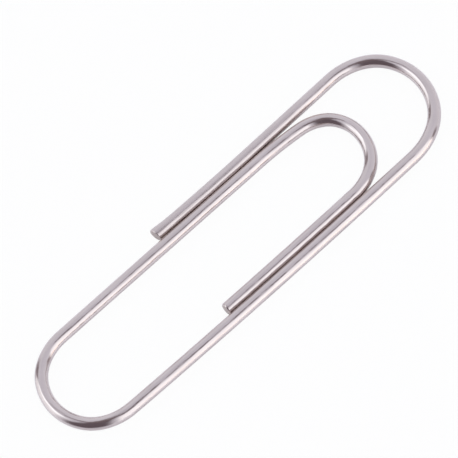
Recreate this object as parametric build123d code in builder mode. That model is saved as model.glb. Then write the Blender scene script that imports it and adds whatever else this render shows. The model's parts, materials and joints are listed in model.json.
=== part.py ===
from build123d import *
from math import asin, cos, degrees, radians, sin
import os

# Wire paper clip, in millimetres, lying flat. X runs along it, Y across it and Z up.
# One round wire makes an outer loop and an inner loop, and every bend turns clockwise.
# All lengths and radii are those of the middle of the wire, and all angles are in degrees.

# Wire
wire_diameter = 0.87
side_gap = 0.02              # least room between two legs that lie side by side
cut_edge_round = 0.06        # soft edge that the shear leaves on a cut end
cut_end_length = 0.6         # straight stretch at each cut end

# Outer tail: it curls away from the middle leg towards its cut end, and leans away on its way to the bend
outer_curl_length = 7.94
outer_curl_turn = 2.41
outer_straight_length = 6.92
outer_lean = 0.99

# Middle leg: straight along X from the base bend, then a gentle lead into the inner bend
middle_straight_length = 17.25
middle_lead_length = 3.34
middle_lead_turn = 7.4

# Long leg and inner tail, which lies beside it
loop_step = 3.71             # how much further along X the outer bend starts than the inner bend
long_leg_turn = 2.44         # its middle bulges outwards
inner_tail_length = 10.58    # up to the straight stretch at its cut end

# Bends: each half is tighter in its middle third
base_bend_radius = 3.84
corner_share = 0.817         # radius in that middle third, as a share of the radius beside it
outer_bend_lean = 0.02       # how much wider than average the half beside the long leg is
inner_bend_lean = 0.07       # how much wider than average the half beside the inner tail is
quarter_turn = 90

wire_radius = wire_diameter / 2
side_pitch = wire_diameter + side_gap
bend_shares = (1, corner_share, 1)


def bend_arcs(radius, turn):
    # Half a bend as three arcs of equal turn, each a radius and a turn. A negative turn is clockwise.
    return [(radius * share, turn / len(bend_shares)) for share in bend_shares]


def bend_reach(turn):
    # How far half a bend of radius 1 reaches along X and across Y, from its top back to its leg
    along = across = done = 0
    for radius, step in bend_arcs(1, turn):
        along += radius * (cos(radians(done)) - cos(radians(done + step)))
        across += radius * (sin(radians(done + step)) - sin(radians(done)))
        done += step
    return along, across


# The base bend, whose top is at X 0, and the middle leg. Both ends of the long leg are at Y 0.
long_slope = long_leg_turn / 2
long_half_turn = quarter_turn - long_slope
long_along, long_across = bend_reach(long_half_turn)
square_along, square_across = bend_reach(quarter_turn)
middle_leg_y = base_bend_radius * (long_across + square_across)
middle_lead_radius = middle_lead_length / radians(middle_lead_turn)
middle_lead_along = middle_lead_radius * sin(radians(middle_lead_turn))
middle_lead_drop = middle_lead_radius * (1 - cos(radians(middle_lead_turn)))
middle_leg_end_x = base_bend_radius * square_along + middle_straight_length + middle_lead_along
middle_leg_end_y = middle_leg_y - middle_lead_drop

# The long leg is one shallow arc
long_leg_start_x = middle_leg_end_x + loop_step
long_leg_end_x = base_bend_radius * long_along
long_leg_radius = (long_leg_start_x - long_leg_end_x) / 2 / sin(radians(long_slope))
long_leg_centre_x = (long_leg_start_x + long_leg_end_x) / 2
long_leg_centre_y = long_leg_radius * cos(radians(long_slope))

# The inner tail shares the long leg's centre. Where it starts and how wide the inner bend is depend
# on each other, so they are worked out in turn until they settle.
inner_tail_radius = long_leg_radius - side_pitch
inner_half_turn = quarter_turn - middle_lead_turn
inner_along, inner_across = bend_reach(inner_half_turn)
settling_rounds = 8
inner_tail_x = middle_leg_end_x
for _ in range(settling_rounds):
    inner_slope = degrees(asin((inner_tail_x - long_leg_centre_x) / inner_tail_radius))
    inner_tail_y = long_leg_centre_y - inner_tail_radius * cos(radians(inner_slope))
    tail_along, tail_across = bend_reach(quarter_turn - inner_slope)
    inner_height = (1 - inner_bend_lean) * inner_across + (1 + inner_bend_lean) * tail_across
    inner_bend_radius = (middle_leg_end_y - inner_tail_y) / inner_height
    inner_middle_radius = inner_bend_radius * (1 - inner_bend_lean)
    inner_tail_bend_radius = inner_bend_radius * (1 + inner_bend_lean)
    inner_tail_x = middle_leg_end_x + inner_middle_radius * inner_along - inner_tail_bend_radius * tail_along
inner_tail_turn = degrees(inner_tail_length / inner_tail_radius)

# The outer tail is nearest to the middle leg where its curl runs along X, and rises from there to the bend
outer_curl_radius = outer_curl_length / radians(outer_curl_turn)
outer_start_slope = outer_lean - outer_curl_turn
outer_rise = outer_straight_length * sin(radians(outer_lean))
outer_tail_y = middle_leg_y + side_pitch + outer_curl_radius * (1 - cos(radians(outer_lean))) + outer_rise
outer_half_turn = quarter_turn + outer_lean
outer_along, outer_across = bend_reach(outer_half_turn)
outer_height = (1 - outer_bend_lean) * outer_across + (1 + outer_bend_lean) * long_across
outer_bend_radius = outer_tail_y / outer_height
outer_tail_bend_radius = outer_bend_radius * (1 - outer_bend_lean)
outer_long_radius = outer_bend_radius * (1 + outer_bend_lean)
outer_bend_top_x = long_leg_start_x + outer_long_radius * long_along

# The clip's own middle, and the outer cut end where the wire starts
highest_y = outer_tail_y + outer_tail_bend_radius * (1 - cos(radians(outer_lean)))
lowest_y = long_leg_centre_y - long_leg_radius
clip_middle_x = outer_bend_top_x / 2
clip_middle_y = (highest_y + lowest_y) / 2
outer_curl_along = outer_curl_radius * (sin(radians(outer_lean)) - sin(radians(outer_start_slope)))
outer_curl_rise = outer_curl_radius * (cos(radians(outer_start_slope)) - cos(radians(outer_lean)))
start_heading = Vector(cos(radians(outer_start_slope)), sin(radians(outer_start_slope)))
bend_start = Vector(outer_bend_top_x - outer_tail_bend_radius * outer_along, outer_tail_y, wire_radius)
straight_reach = Vector(outer_straight_length * cos(radians(outer_lean)), outer_rise)
curl_reach = Vector(outer_curl_along, outer_curl_rise)
clip_middle = Vector(clip_middle_x, clip_middle_y)
wire_start = bend_start - straight_reach - curl_reach - start_heading * cut_end_length - clip_middle

# Each length of the wire in turn, as arcs and straight runs. A straight run is a length alone.
lengths = {
    "outer_tail": [cut_end_length, (outer_curl_radius, outer_curl_turn), outer_straight_length],
    "outer_bend_tail_half": bend_arcs(outer_tail_bend_radius, -outer_half_turn),
    "outer_bend_long_half": bend_arcs(outer_long_radius, -long_half_turn),
    "long_leg": [(long_leg_radius, -long_leg_turn)],
    "base_bend_long_half": bend_arcs(base_bend_radius, -long_half_turn),
    "base_bend_middle_half": bend_arcs(base_bend_radius, -quarter_turn),
    "middle_leg": [middle_straight_length, (middle_lead_radius, -middle_lead_turn)],
    "inner_bend_middle_half": bend_arcs(inner_middle_radius, -inner_half_turn),
    "inner_bend_tail_half": bend_arcs(inner_tail_bend_radius, inner_slope - quarter_turn),
    "inner_tail": [(inner_tail_radius, -inner_tail_turn), cut_end_length],
}

# The middle line of the wire, from the outer cut end to the inner one
paths = {}
place = wire_start
heading = start_heading
for node, stretches in lengths.items():
    with BuildLine() as middle_line:
        for stretch in stretches:
            if isinstance(stretch, tuple):
                edge = JernArc(place, heading, *stretch)
            else:
                edge = Line(place, place + heading * stretch)
            place = edge @ 1
            heading = edge % 1
    paths[node] = middle_line.wire()

cut_ends = {"outer_tail": paths["outer_tail"] @ 0, "inner_tail": paths["inner_tail"] @ 1}

# Each length is the round section of the wire, swept along its own stretch of the middle line
os.makedirs("parts", exist_ok=True)
for node, path in paths.items():
    with BuildPart() as length:
        with BuildSketch(Plane(origin=path @ 0, z_dir=path % 0)):
            Circle(wire_radius)
        sweep(path=path)
        if node in cut_ends:
            end_faces = length.faces().filter_by(GeomType.PLANE)
            fillet(end_faces.sort_by_distance(cut_ends[node])[0].edges(), cut_edge_round)
    length.part.label = node
    export_step(length.part, f"parts/{node}.step")
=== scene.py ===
import json
from math import asin, atan2, cos, hypot, pi, radians, sin, tau

import bpy
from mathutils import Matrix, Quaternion, Vector


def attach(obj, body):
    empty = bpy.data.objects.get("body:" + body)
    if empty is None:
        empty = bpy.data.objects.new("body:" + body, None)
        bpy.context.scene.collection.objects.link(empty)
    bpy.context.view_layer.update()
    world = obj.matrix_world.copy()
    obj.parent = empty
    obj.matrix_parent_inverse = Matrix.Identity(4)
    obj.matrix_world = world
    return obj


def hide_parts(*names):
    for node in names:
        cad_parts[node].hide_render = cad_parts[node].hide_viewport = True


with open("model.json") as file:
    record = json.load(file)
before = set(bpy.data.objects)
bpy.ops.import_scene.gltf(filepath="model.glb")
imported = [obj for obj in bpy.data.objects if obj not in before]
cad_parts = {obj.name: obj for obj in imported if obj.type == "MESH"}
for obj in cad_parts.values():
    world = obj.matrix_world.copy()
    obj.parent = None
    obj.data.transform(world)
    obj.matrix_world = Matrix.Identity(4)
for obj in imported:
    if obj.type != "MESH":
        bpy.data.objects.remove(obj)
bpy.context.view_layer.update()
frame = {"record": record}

mm = 0.001
hair = 0.001 * mm            # closer than this counts as touching
plainWhite = (1, 1, 1, 1)


# Shared helpers

def hexColour(code):
    # sRGB hex to the linear colour that a shader takes
    parts = [int(code[i:i + 2], 16) / 255 for i in (1, 3, 5)]
    return [c / 12.92 if c <= 0.04045 else ((c + 0.055) / 1.055) ** 2.4 for c in parts] + [1.0]


def addNode(tree, kind, settings=None, links=None):
    # settings go to the node's own options or, by name or number, to its inputs; a mix of two colours takes
    # them at 6 and 7 and gives the result at 2
    node = tree.nodes.new(kind)
    for key, value in (settings or {}).items():
        if isinstance(key, int) or key in node.inputs:
            node.inputs[key].default_value = value
        else:
            setattr(node, key, value)
    for key, source in (links or {}).items():
        tree.links.new(source, node.inputs[key])
    return node


def newMaterial(name):
    material = bpy.data.materials.new(name)
    material.use_nodes = True
    material.node_tree.nodes.clear()
    return material, material.node_tree


def startFresh():
    # nothing selected, so that an operator only acts on what comes next
    if bpy.context.mode != "OBJECT":
        bpy.ops.object.mode_set(mode="OBJECT")
    bpy.ops.object.select_all(action="DESELECT")


# Nickel-plated steel wire, drawn through a die and then bent. The eye gets a warm silver mirror, a little
# soft, with fine draw lines along the wire that smear what it mirrors round the wire.
nickelWire = {
    "bright": "#D9CDC9",
    "dull": "#CDC1BD",
    "roughness": (0.12, 0.16),      # where it is bright and where it is dull
    "rubbed": (0.13, 10.0, 18.0),   # paper dulls the outer tail: added roughness,
                                    # and how many mm along the wire all of it and none of it is there
    "anisotropy": 0.35,
    "drawLine": 0.2,                # mm between draw lines, really about 0.02: coarser so that they show
    "drawLineRun": 3.0,             # mm that one line runs along the wire
    "lineDepth": 0.022,             # mm, as much coarser
    "cloud": 1.6,                   # mm across a patch of brighter or duller plating
    "lineShare": 0.55,              # the lines' part in the mottle, the patches being the rest
    "mottleRange": (0.3, 0.7),      # the noise seldom leaves this, so the mottle is spread over it
}


def makeNickelWire(look):
    material, tree = newMaterial("nickelPlatedWire")
    place = addNode(tree, "ShaderNodeAttribute", {"attribute_name": "wirePlace"})
    stretched = addNode(
        tree, "ShaderNodeMapping",
        {"Scale": (1 / look["drawLine"], 1 / look["drawLine"], 1 / look["drawLineRun"])},
        {"Vector": place.outputs["Vector"]})
    lines = addNode(
        tree, "ShaderNodeTexNoise", {"Scale": 1.0, "Detail": 3.0, "Roughness": 0.6},
        {"Vector": stretched.outputs["Vector"]})
    cloud = addNode(
        tree, "ShaderNodeTexNoise", {"Scale": 1 / look["cloud"], "Detail": 2.0},
        {"Vector": place.outputs["Vector"]})
    patches = addNode(
        tree, "ShaderNodeMath", {"operation": "MULTIPLY", 1: 1 - look["lineShare"]},
        {0: cloud.outputs["Fac"]})
    noise = addNode(
        tree, "ShaderNodeMath", {"operation": "MULTIPLY_ADD", 1: look["lineShare"]},
        {0: lines.outputs["Fac"], 2: patches.outputs[0]})
    dullest, brightest = look["mottleRange"]
    mottle = addNode(
        tree, "ShaderNodeMapRange", {"From Min": dullest, "From Max": brightest}, {"Value": noise.outputs[0]})
    colour = addNode(
        tree, "ShaderNodeMix",
        {"data_type": "RGBA", 6: hexColour(look["dull"]), 7: hexColour(look["bright"])},
        {0: mottle.outputs[0]})
    soft, softer = look["roughness"]
    polish = addNode(
        tree, "ShaderNodeMapRange", {"To Min": softer, "To Max": soft}, {"Value": mottle.outputs[0]})
    more, fully, none = look["rubbed"]
    split = addNode(tree, "ShaderNodeSeparateXYZ", None, {0: place.outputs["Vector"]})
    rubbed = addNode(
        tree, "ShaderNodeMapRange",
        {"interpolation_type": "SMOOTHSTEP", "From Min": fully, "From Max": none,
         "To Min": more, "To Max": 0.0},
        {"Value": split.outputs["Z"]})
    roughness = addNode(
        tree, "ShaderNodeMath", {"operation": "ADD"}, {0: polish.outputs[0], 1: rubbed.outputs[0]})
    bump = addNode(
        tree, "ShaderNodeBump", {"Strength": 1.0, "Distance": look["lineDepth"] * mm},
        {"Height": lines.outputs["Fac"]})
    around = addNode(tree, "ShaderNodeTangent", {"direction_type": "UV_MAP", "uv_map": "wireWrap"})
    surface = addNode(
        tree, "ShaderNodeBsdfPrincipled", {"Metallic": 1.0, "Anisotropic": look["anisotropy"]},
        {"Base Color": colour.outputs[2], "Roughness": roughness.outputs[0],
         "Normal": bump.outputs[0], "Tangent": around.outputs[0]})
    addNode(tree, "ShaderNodeOutputMaterial", None, {"Surface": surface.outputs[0]})
    return material


# Bare steel where the shear parted the wire. The eye gets a dull grey, half burnished and half torn, with
# fine lines down the cut.
cutSteel = {
    "burnished": "#D6CAC2",
    "torn": "#BAACA6",
    "roughness": (0.34, 0.55),      # where it is burnished and where it is torn
    "shearLine": 0.07,              # mm between shear lines, really about 0.02: coarser so that they show
    "shearRun": 0.35,               # mm that one line runs down the cut
    "lineDepth": 0.004,             # mm
}


def makeCutSteel(look):
    material, tree = newMaterial("shearedSteel")
    place = addNode(tree, "ShaderNodeAttribute", {"attribute_name": "wirePlace"})
    stretched = addNode(
        tree, "ShaderNodeMapping",
        {"Scale": (1 / look["shearLine"], 1 / look["shearRun"], 1 / look["shearLine"])},
        {"Vector": place.outputs["Vector"]})
    lines = addNode(
        tree, "ShaderNodeTexNoise", {"Scale": 1.0, "Detail": 3.0},
        {"Vector": stretched.outputs["Vector"]})
    colour = addNode(
        tree, "ShaderNodeMix",
        {"data_type": "RGBA", 6: hexColour(look["torn"]), 7: hexColour(look["burnished"])},
        {0: lines.outputs["Fac"]})
    soft, softer = look["roughness"]
    roughness = addNode(
        tree, "ShaderNodeMapRange", {"To Min": softer, "To Max": soft}, {"Value": lines.outputs["Fac"]})
    bump = addNode(
        tree, "ShaderNodeBump", {"Strength": 0.6, "Distance": look["lineDepth"] * mm},
        {"Height": lines.outputs["Fac"]})
    surface = addNode(
        tree, "ShaderNodeBsdfPrincipled", {"Metallic": 1.0},
        {"Base Color": colour.outputs[2], "Roughness": roughness.outputs[0], "Normal": bump.outputs[0]})
    addNode(tree, "ShaderNodeOutputMaterial", None, {"Surface": surface.outputs[0]})
    return material


platedFinish = makeNickelWire(nickelWire)
cutFinish = makeCutSteel(cutSteel)
print("finishes made: plated wire and sheared steel")


# The wire's sizes, as the solid model has them: mm along its middle, and degrees
clip = {
    "wire": 0.87,
    "sideGap": 0.02,         # least room between two legs that lie side by side
    "cutEnd": 0.6,           # straight stretch at each cut end
    "outerCurl": 7.94,
    "outerCurlTurn": 2.41,
    "outerStraight": 6.92,
    "outerLean": 0.99,
    "middleStraight": 17.25,
    "middleLead": 3.34,
    "middleLeadTurn": 7.4,
    "loopStep": 3.71,        # how much further the outer bend starts than the inner bend
    "longTurn": 2.44,
    "innerTail": 10.58,
    "baseRadius": 3.84,
    "cornerShare": 0.817,    # each half bend is this much tighter in its middle third
    "outerBendLean": 0.02,   # how much wider the half beside the long leg is
    "innerBendLean": 0.07,   # how much wider the half beside the inner tail is
}


def bendArcs(radius, turn):
    # half a bend: three arcs of equal turn, each a radius and a turn, clockwise being negative
    shares = (1, clip["cornerShare"], 1)
    return [(radius * share, turn / len(shares)) for share in shares]


def bendReach(turn):
    # how far half a bend of radius 1 reaches along and across, from its top back to its leg
    along = across = done = 0
    for radius, step in bendArcs(1, turn):
        along += radius * (cos(done) - cos(done + step))
        across += radius * (sin(done + step) - sin(done))
        done += step
    return along, across


def layOutWire(size):
    # from the base bend's top at X 0, with both ends of the long leg at Y 0
    pitch = size["wire"] + size["sideGap"]
    base, slope = size["baseRadius"], radians(size["longTurn"]) / 2
    longAlong, longAcross = bendReach(pi / 2 - slope)
    squareAlong, squareAcross = bendReach(pi / 2)
    middleY = base * (longAcross + squareAcross)
    leadTurn = radians(size["middleLeadTurn"])
    leadRadius = size["middleLead"] / leadTurn
    middleEndX = base * squareAlong + size["middleStraight"] + leadRadius * sin(leadTurn)
    middleEndY = middleY - leadRadius * (1 - cos(leadTurn))

    longStartX, longEndX = middleEndX + size["loopStep"], base * longAlong
    longRadius = (longStartX - longEndX) / 2 / sin(slope)
    longX, longY = (longStartX + longEndX) / 2, longRadius * cos(slope)

    # the inner tail keeps beside the long leg, and the inner bend is as wide as that leaves it: where the
    # tail starts and how wide the bend is are worked out in turn until they settle
    settlingRounds = 8
    tailRadius = longRadius - pitch
    near, far = 1 - size["innerBendLean"], 1 + size["innerBendLean"]
    innerAlong, innerAcross = bendReach(pi / 2 - leadTurn)
    tailX = middleEndX
    for _ in range(settlingRounds):
        tailSlope = asin((tailX - longX) / tailRadius)
        tailAlong, tailAcross = bendReach(pi / 2 - tailSlope)
        room = middleEndY - longY + tailRadius * cos(tailSlope)
        innerRadius = room / (near * innerAcross + far * tailAcross)
        tailX = middleEndX + innerRadius * (near * innerAlong - far * tailAlong)

    # the outer tail lies against the middle leg where its curl runs along X
    lean, curlTurn = radians(size["outerLean"]), radians(size["outerCurlTurn"])
    curlRadius, startAngle = size["outerCurl"] / curlTurn, lean - curlTurn
    outerY = middleY + pitch + curlRadius * (1 - cos(lean)) + size["outerStraight"] * sin(lean)
    outerAlong, outerAcross = bendReach(pi / 2 + lean)
    tight, wide = 1 - size["outerBendLean"], 1 + size["outerBendLean"]
    outerRadius = outerY / (tight * outerAcross + wide * longAcross)
    topX = longStartX + outerRadius * wide * longAlong
    topY = outerY + outerRadius * tight * (1 - cos(lean))
    startX = (topX - outerRadius * tight * outerAlong - size["outerStraight"] * cos(lean)
              - curlRadius * (sin(lean) - sin(startAngle)) - size["cutEnd"] * cos(startAngle))
    startY = (outerY - size["outerStraight"] * sin(lean) - curlRadius * (cos(startAngle) - cos(lean))
              - size["cutEnd"] * sin(startAngle))
    start = Vector((startX - topX / 2, startY - (topY + longY - longRadius) / 2, size["wire"] / 2)) * mm

    # each length in turn, as arcs and straight runs
    return start, startAngle, {
        "outer_tail": [size["cutEnd"], (curlRadius, curlTurn), size["outerStraight"]],
        "outer_bend_tail_half": bendArcs(outerRadius * tight, -pi / 2 - lean),
        "outer_bend_long_half": bendArcs(outerRadius * wide, slope - pi / 2),
        "long_leg": [(longRadius, -2 * slope)],
        "base_bend_long_half": bendArcs(base, slope - pi / 2),
        "base_bend_middle_half": bendArcs(base, -pi / 2),
        "middle_leg": [size["middleStraight"], (leadRadius, -leadTurn)],
        "inner_bend_middle_half": bendArcs(innerRadius * near, leadTurn - pi / 2),
        "inner_bend_tail_half": bendArcs(innerRadius * far, tailSlope - pi / 2),
        "inner_tail": [(tailRadius, -size["innerTail"] / tailRadius), size["cutEnd"]],
    }


# How finely the wire is drawn, and what each length is called
rings = {
    "sides": 64,
    "bendStep": 0.14,        # mm between rings round a bend
    "legStep": 0.3,          # mm between rings along a leg
    "edgeStep": 0.006,       # mm, a narrow ring at each end, so that the shading meets the next length
    "bendLimit": 20,         # mm, a radius under this is a bend
    "rimRings": 6,           # round the rim of a cut end
    "faceRings": 2,          # and on its face
    "faceInset": 0.35,       # how far in each of those lies, as a share of the face's radius
    "flatLimit": 0.02,       # mm along the wire, a face within this is an end's own
    "smoothAngle": 40,       # degrees, a sharper edge than this stays sharp
}
pieceNames = {
    "outer_tail": "outerTailWire", "outer_bend_tail_half": "outerBendTailSide",
    "outer_bend_long_half": "outerBendLongSide", "long_leg": "longLegWire",
    "base_bend_long_half": "baseBendLongSide", "base_bend_middle_half": "baseBendMiddleSide",
    "middle_leg": "middleLegWire", "inner_bend_middle_half": "innerBendMiddleSide",
    "inner_bend_tail_half": "innerBendTailSide", "inner_tail": "innerTailWire",
}

# The shear's mark on each cut end, in mm and degrees
outerCut = {
    "start": 0.42,           # from the end back to the last plain ring
    "setBack": 0.13,         # how far the middle of the face lies inside the end
    "round": 0.07,           # the rim's round
    "drop": 0.2,             # how far the rim rolls down, as a share of its round
    "lean": 5.0,             # the face looks up
    "slant": 11.0,           # and towards the middle leg
    "spread": 0.07,          # how much wider the shear squashed the tip, on its outer side
    "squash": 0.03,          # and how much lower
    "spreadRun": 1.3,        # how far back that reaches
}
innerCut = {
    "start": 0.22, "setBack": 0.0, "round": 0.13, "drop": 0.6, "lean": 3.0, "slant": 0.0, "spread": 0.0}
cutMarks = {"outer_tail": outerCut, "inner_tail": innerCut}
bareLimit = 0.9              # a face that looks this squarely along the cut is bare steel, as a cosine

bodyOf = {node: body for body, nodes in frame["record"]["behaviour"]["bodies"].items() for node in nodes}
wireRadius = clip["wire"] / 2 * mm


def headingAt(angle):
    return Vector((cos(angle), sin(angle), 0))


def planStretch(stretch, place, angle, along):
    # one arc or straight run with where it starts, which way it faces and how far along the wire it is
    track = {"place": place, "angle": angle, "along": along}
    if not isinstance(stretch, tuple):
        return {**track, "length": stretch * mm, "side": 0}
    radius, turn = stretch[0] * mm, stretch[1]
    side = 1 if turn > 0 else -1         # its centre lies to the left or right
    centre = place + headingAt(angle + pi / 2) * side * radius
    return {**track, "length": radius * abs(turn), "side": side, "radius": radius, "centre": centre}


def pointOn(track, run):
    if not track["side"]:
        return track["place"] + headingAt(track["angle"]) * run, track["angle"]
    turned = track["side"] * run / track["radius"]
    arm = track["place"] - track["centre"]
    arm.rotate(Quaternion((0, 0, 1), turned))
    return track["centre"] + arm, track["angle"] + turned


def placeOn(track, point):
    # how far along a stretch a point of the wire lies, and how far to the left of its middle
    if not track["side"]:
        off = point - track["place"]
        return off.dot(headingAt(track["angle"])), off.dot(headingAt(track["angle"] + pi / 2))
    off, arm = point - track["centre"], track["place"] - track["centre"]
    turned = track["side"] * (atan2(off.y, off.x) - atan2(arm.y, arm.x))
    turned = (turned + pi) % tau - pi
    return turned * track["radius"], -track["side"] * (hypot(off.x, off.y) - track["radius"])


def carrySection(track, run):
    # takes the selected round face on along its stretch
    bent = track["side"] and track["radius"] < rings["bendLimit"] * mm
    count = max(1, round(run / mm / rings["bendStep" if bent else "legStep"]))
    if track["side"]:
        bpy.ops.mesh.spin(
            steps=count, angle=-track["side"] * run / track["radius"],
            center=track["centre"], axis=(0, 0, 1))
        return
    for _ in range(count):
        bpy.ops.mesh.extrude_region_move(
            TRANSFORM_OT_translate={"value": headingAt(track["angle"]) * run / count})


def pickNothing(piece):
    bpy.ops.object.mode_set(mode="OBJECT")
    for part in (piece.data.vertices, piece.data.edges, piece.data.polygons):
        part.foreach_set("select", [False] * len(part))


def editPicks(kind):
    bpy.ops.object.mode_set(mode="EDIT")
    bpy.ops.mesh.select_mode(type=kind)


def selectCap(piece, centre):
    # picks the round face that closes one end of the wire
    pickNothing(piece)
    caps = [face for face in piece.data.polygons if len(face.vertices) == rings["sides"]]
    min(caps, key=lambda face: (face.center - centre).length).select = True
    editPicks("FACE")


def selectTip(piece, start, outward):
    # picks everything past the last plain ring
    pickNothing(piece)
    for vertex in piece.data.vertices:
        vertex.select = (vertex.co - start).dot(outward) > hair
    editPicks("VERT")


def shapeCut(piece, end, outward, mark):
    # turns the end and rolls its rim over, as a shear does: most at the top, where its blade came in
    start, rim = end - outward * mark["start"] * mm, mark["round"] * mm
    lean, slant = radians(mark["lean"]), radians(mark["slant"])
    centre = end - outward * (mark["setBack"] + mark["round"]) * mm
    selectCap(piece, start)
    bpy.ops.mesh.extrude_region_move(TRANSFORM_OT_translate={"value": centre - start})
    # with no window open, this operator turns the other way round
    bpy.ops.transform.rotate(value=-lean, orient_axis="Y", center_override=centre)
    bpy.ops.transform.rotate(value=-slant, orient_axis="Z", center_override=centre)
    facing = outward.copy()
    facing.rotate(Quaternion((0, 1, 0), lean))
    facing.rotate(Quaternion((0, 0, 1), slant))

    # the rim, a quarter round from the wire's side to the face, and then the face
    madeRadius, madeDepth = wireRadius, 0
    for ring in range(1, rings["rimRings"] + 1):
        turn = pi / 2 * ring / rings["rimRings"]
        ringRadius, ringDepth = wireRadius - rim * (1 - cos(turn)), rim * sin(turn)
        step = facing * (ringDepth - madeDepth)
        step.z -= mark["drop"] * (madeRadius - ringRadius)
        bpy.ops.mesh.extrude_region_move(TRANSFORM_OT_translate={"value": step})
        centre = centre + step
        bpy.ops.transform.resize(value=(ringRadius / madeRadius,) * 3, center_override=centre)
        madeRadius, madeDepth = ringRadius, ringDepth
    for _ in range(rings["faceRings"]):
        bpy.ops.mesh.inset(thickness=madeRadius * rings["faceInset"])

    # the tip that the shear squashed
    if mark["spread"]:
        selectTip(piece, start, outward)
        bpy.ops.transform.resize(
            value=(1, 1 + mark["spread"] / clip["wire"], 1 - mark["squash"] / clip["wire"]),
            center_override=centre - Vector((0, wireRadius, 0)), use_proportional_edit=True,
            proportional_edit_falloff="SMOOTH", proportional_size=mark["spreadRun"] * mm)
    bpy.ops.object.mode_set(mode="OBJECT")
    return facing


def wrapLength(piece, tracks):
    # notes where each point lies on the straightened wire, in mm: to the left, up, and along from the outer
    # cut end
    spots = []
    for vertex in piece.data.vertices:
        places = [(*placeOn(track, vertex.co), track) for track in tracks]
        run, left, track = min(places, key=lambda p: max(-p[0], p[0] - p[2]["length"], 0) + abs(p[1]))
        spots.append((left / mm, (vertex.co.z - wireRadius) / mm, (track["along"] + run) / mm))
    wirePlace = piece.data.attributes.new("wirePlace", "FLOAT_VECTOR", "POINT")
    wirePlace.data.foreach_set("vector", [c for spot in spots for c in spot])

    # a wrap with the girth across it and the length up it; an end's own face lies flat beside its rim
    wrap = piece.data.uv_layers.new(name="wireWrap")
    girth = pi * clip["wire"]
    for face in piece.data.polygons:
        alongs = [spots[v][2] for v in face.vertices]
        flat = max(alongs) - min(alongs) < rings["flatLimit"]
        arounds = [atan2(spots[v][1], spots[v][0]) / tau for v in face.vertices]
        if max(arounds) - min(arounds) > 0.5:        # it lies across the seam
            arounds = [a + 1 if a < 0 else a for a in arounds]
        for corner, v, around in zip(face.loop_indices, face.vertices, arounds):
            left, up, along = spots[v]
            wrap.data[corner].uv = (left / girth, (along + up) / girth) if flat else (around, along / girth)


def drawLength(node, stretches, place, angle, along):
    tracks = []
    for stretch in stretches:
        tracks.append(planStretch(stretch, place, angle, along))
        place, angle = pointOn(tracks[-1], tracks[-1]["length"])
        along += tracks[-1]["length"]
    mark = cutMarks.get(node)
    firstDepth = mark["start"] * mm if mark is outerCut else 0
    lastDepth = mark["start"] * mm if mark is innerCut else 0
    edge = rings["edgeStep"] * mm

    # a round section at the start of the length, then carried along its middle line
    startFresh()
    here, facing = pointOn(tracks[0], firstDepth)
    bpy.ops.mesh.primitive_circle_add(
        vertices=rings["sides"], radius=wireRadius, fill_type="NGON",
        location=here, rotation=(pi / 2, 0, facing + pi / 2))
    piece = bpy.context.object
    piece.name = piece.data.name = pieceNames[node]
    bpy.ops.object.transform_apply(location=True, rotation=True, scale=True)
    editPicks("FACE")
    for track in tracks:
        stops = [firstDepth if track is tracks[0] else 0]
        if track is tracks[0]:
            stops.append(firstDepth + edge)
        finish = track["length"] - (lastDepth if track is tracks[-1] else 0)
        if track is tracks[-1]:
            stops.append(finish - edge)
        stops.append(finish)
        for begin, end in zip(stops, stops[1:]):
            carrySection(track, end - begin)
    bpy.ops.object.mode_set(mode="OBJECT")

    if mark is outerCut:
        cutCentre, outward = tracks[0]["place"], -headingAt(tracks[0]["angle"])
    else:
        cutCentre, outward = place, headingAt(angle)
    if mark:
        facing = shapeCut(piece, cutCentre, outward, mark)
    bpy.ops.object.mode_set(mode="EDIT")
    bpy.ops.mesh.select_all(action="SELECT")
    bpy.ops.mesh.normals_make_consistent(inside=False)
    bpy.ops.object.mode_set(mode="OBJECT")
    bpy.ops.object.shade_smooth_by_angle(angle=radians(rings["smoothAngle"]))
    wrapLength(piece, tracks)

    piece.data.materials.append(platedFinish)
    if mark:
        piece.data.materials.append(cutFinish)
        for face in piece.data.polygons:
            if face.normal.dot(facing) > bareLimit and (face.center - cutCentre).length < wireRadius:
                face.material_index = 1
    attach(piece, bodyOf[node])
    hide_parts(node)
    print(piece.name, "drawn:", len(piece.data.polygons), "faces")
    return place, angle, along


spot, bearing, lengths = layOutWire(clip)
reach = 0.0
for node, stretches in lengths.items():
    spot, bearing, reach = drawLength(node, stretches, spot, bearing, reach)
print("wire bent:", round(reach / mm, 1), "mm of it")


# Room: a smooth pale floor, and a pale surround with bright panels, a far card, narrow stands and the dark
# sides behind and over the camera
paleFloor = {
    "colour": "#F8F9FE",
    "roughness": 0.2,
    "gloss": 1.0,
    "width": 6.0,            # metres
    "clear": 0.96,           # how much the camera looks through it, to white and to what bends below it
    "mirroredWhite": 0.18,   # added where the wire mirrors it
}
surround = {"horizon": "#F1F4FF", "zenith": "#DEE1F0"}

# Each panel has its azimuth from X, how far it reaches to each side of that, its lowest and highest angle and
# how softly it ends, sideways and upwards, all in degrees. A dark one has no strength of its own.
rightPanel = {
    "azimuth": -77.5, "reach": 30, "low": -10, "high": 52, "soft": (8, 24),
    "colour": "#F3F8FF", "strength": 1.64}
leftPanel = {
    "azimuth": 137.5, "reach": 22.5, "low": 25, "high": 54, "soft": (12, 12),
    "colour": "#F0F8FF", "strength": 1.9}
leftFoot = {
    "azimuth": 137.5, "reach": 22.5, "low": -10, "high": 25, "soft": (12, 14),
    "colour": "#F3F8FF", "strength": 1.35}
rightFoot = {
    "azimuth": -66, "reach": 16, "low": -10, "high": 14, "soft": (14, 12),
    "colour": "#FFF7F3", "strength": 2.0}
farCard = {
    "azimuth": 77, "reach": 22, "low": 28, "high": 58, "soft": (20, 20),
    "colour": "#F0F4FF", "strength": 0.97}
cameraSide = {
    "azimuth": -152.8, "reach": 34.3, "low": -10, "high": 76, "soft": (18, 8),
    "colour": "#6F666E"}
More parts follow.
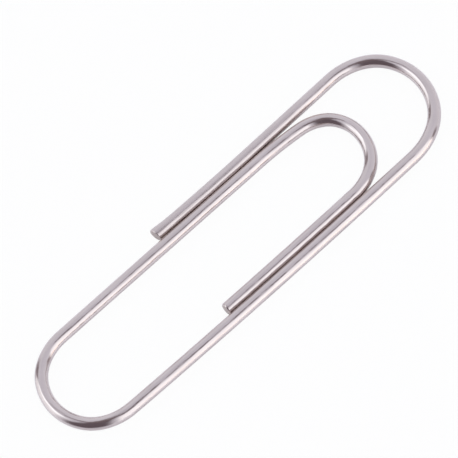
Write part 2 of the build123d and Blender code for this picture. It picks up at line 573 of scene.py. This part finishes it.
overhead = {
    "azimuth": -166, "reach": 92, "low": 70, "high": 100, "soft": (20, 8),
    "colour": "#80757B"}
overheadRight = {
    "azimuth": -81, "reach": 34, "low": 66, "high": 100, "soft": (8, 6),
    "colour": "#6A5F63"}
overheadLeft = {
    "azimuth": 94, "reach": 10, "low": 63, "high": 100, "soft": (8, 8),
    "colour": "#8F878C"}
leftStand = {
    "azimuth": 108, "reach": 6.5, "low": 2, "high": 38, "soft": (5, 8),
    "colour": "#968E94"}
rightCorner = {
    "azimuth": -41, "reach": 6, "low": -10, "high": 24, "soft": (5, 10),
    "colour": "#8E868C"}


def layFloor(spec):
    startFresh()
    bpy.ops.mesh.primitive_plane_add(size=spec["width"], location=(0, 0, 0))
    floor = bpy.context.object
    floor.name = "paleFloor"
    material, tree = newMaterial("paleFloor")
    rays = addNode(tree, "ShaderNodeLightPath")
    mirrored = addNode(
        tree, "ShaderNodeMath", {"operation": "MAXIMUM"},
        {0: rays.outputs["Is Glossy Ray"], 1: rays.outputs["Is Transmission Ray"]})
    glow = addNode(
        tree, "ShaderNodeMath", {"operation": "MULTIPLY", 1: spec["mirroredWhite"]},
        {0: mirrored.outputs[0]})
    seen = addNode(
        tree, "ShaderNodeMath", {"operation": "MULTIPLY", 1: spec["clear"]},
        {0: rays.outputs["Is Camera Ray"]})
    card = addNode(
        tree, "ShaderNodeBsdfPrincipled",
        {"Base Color": hexColour(spec["colour"]), "Roughness": spec["roughness"],
         "Coat Weight": spec["gloss"], "Emission Color": plainWhite},
        {"Emission Strength": glow.outputs[0]})
    clear = addNode(tree, "ShaderNodeBsdfTransparent", {"Color": plainWhite})
    both = addNode(
        tree, "ShaderNodeMixShader", None, {0: seen.outputs[0], 1: card.outputs[0], 2: clear.outputs[0]})
    addNode(tree, "ShaderNodeOutputMaterial", None, {"Surface": both.outputs[0]})
    floor.data.materials.append(material)


def shone(spec):
    return [c * spec.get("strength", 1.0) for c in hexColour(spec["colour"])[:3]] + [1.0]


def makeSurround(spec, panels):
    world = bpy.data.worlds.new("paleSurround")
    bpy.context.scene.world = world
    world.use_nodes = True
    tree = world.node_tree
    tree.nodes.clear()
    towards = addNode(tree, "ShaderNodeTexCoord")
    split = addNode(tree, "ShaderNodeSeparateXYZ", None, {0: towards.outputs["Generated"]})
    azimuth = addNode(
        tree, "ShaderNodeMath", {"operation": "ARCTAN2"}, {0: split.outputs["Y"], 1: split.outputs["X"]})
    height = addNode(tree, "ShaderNodeMath", {"operation": "ARCSINE"}, {0: split.outputs["Z"]})
    rise = addNode(
        tree, "ShaderNodeMapRange", {"From Min": 0.0, "From Max": pi / 2}, {"Value": height.outputs[0]})
    light = addNode(
        tree, "ShaderNodeMix",
        {"data_type": "RGBA", 6: hexColour(spec["horizon"]), 7: hexColour(spec["zenith"])},
        {0: rise.outputs[0]})
    for panel in panels:
        sideSoft, heightSoft = (radians(s) / 2 for s in panel["soft"])
        off = addNode(
            tree, "ShaderNodeMath", {"operation": "SUBTRACT", 1: radians(panel["azimuth"])},
            {0: azimuth.outputs[0]})
        turned = addNode(
            tree, "ShaderNodeMath", {"operation": "WRAP", 1: pi, 2: -pi}, {0: off.outputs[0]})
        aside = addNode(tree, "ShaderNodeMath", {"operation": "ABSOLUTE"}, {0: turned.outputs[0]})
        mask = None
        for source, edge, soft, rising in (
                (aside, panel["reach"], sideSoft, 0), (height, panel["low"], heightSoft, 1),
                (height, panel["high"], heightSoft, 0)):
            fade = addNode(
                tree, "ShaderNodeMapRange",
                {"interpolation_type": "SMOOTHSTEP", "From Min": radians(edge) - soft,
                 "From Max": radians(edge) + soft, "To Min": 1 - rising, "To Max": rising},
                {"Value": source.outputs[0]})
            if mask:
                fade = addNode(
                    tree, "ShaderNodeMath", {"operation": "MULTIPLY"},
                    {0: mask.outputs[0], 1: fade.outputs[0]})
            mask = fade
        light = addNode(
            tree, "ShaderNodeMix", {"data_type": "RGBA", 7: shone(panel)},
            {0: mask.outputs[0], 6: light.outputs[2]})
    rays = addNode(tree, "ShaderNodeLightPath")
    room = addNode(tree, "ShaderNodeBackground", {"Strength": 1.0}, {"Color": light.outputs[2]})
    white = addNode(tree, "ShaderNodeBackground", {"Color": plainWhite, "Strength": 1.0})
    both = addNode(
        tree, "ShaderNodeMixShader", None,
        {0: rays.outputs["Is Camera Ray"], 1: room.outputs[0], 2: white.outputs[0]})
    addNode(tree, "ShaderNodeOutputWorld", None, {"Surface": both.outputs[0]})


layFloor(paleFloor)
makeSurround(surround, (
    rightPanel, rightFoot, farCard, leftPanel, leftFoot, leftStand, rightCorner,
    cameraSide, overheadRight, overheadLeft, overhead))
print("room set: floor and surround with its panels")


# Camera at the photograph's angle: high over the long leg's side, with the clip running up to the right
viewpoint = {
    "azimuth": -110.063, "height": 61.161, "roll": 23.852,    # degrees
    "distance": 385.09, "aim": (0.2130, 0.9264, 0.435),       # mm, back from the point that it looks at
    "lens": 471.6, "sensor": 36.0,                            # mm
    "clip": (0.01, 50),                                       # metres
}


def placeCamera(spec):
    lens = bpy.data.cameras.new("photoCamera")
    lens.lens, lens.sensor_width = spec["lens"], spec["sensor"]
    lens.clip_start, lens.clip_end = spec["clip"]
    camera = bpy.data.objects.new("photoCamera", lens)
    bpy.context.scene.collection.objects.link(camera)
    azimuth, height = radians(spec["azimuth"]), radians(spec["height"])
    out = Vector((cos(height) * cos(azimuth), cos(height) * sin(azimuth), sin(height)))
    camera.location = (Vector(spec["aim"]) + out * spec["distance"]) * mm
    camera.rotation_mode = "QUATERNION"
    roll = Quaternion((0, 0, 1), -radians(spec["roll"]))
    camera.rotation_quaternion = out.to_track_quat("Z", "Y") @ roll
    bpy.context.scene.camera = camera


placeCamera(viewpoint)
bpy.context.scene.view_settings.view_transform = "Standard"
print("camera set")

startFresh()
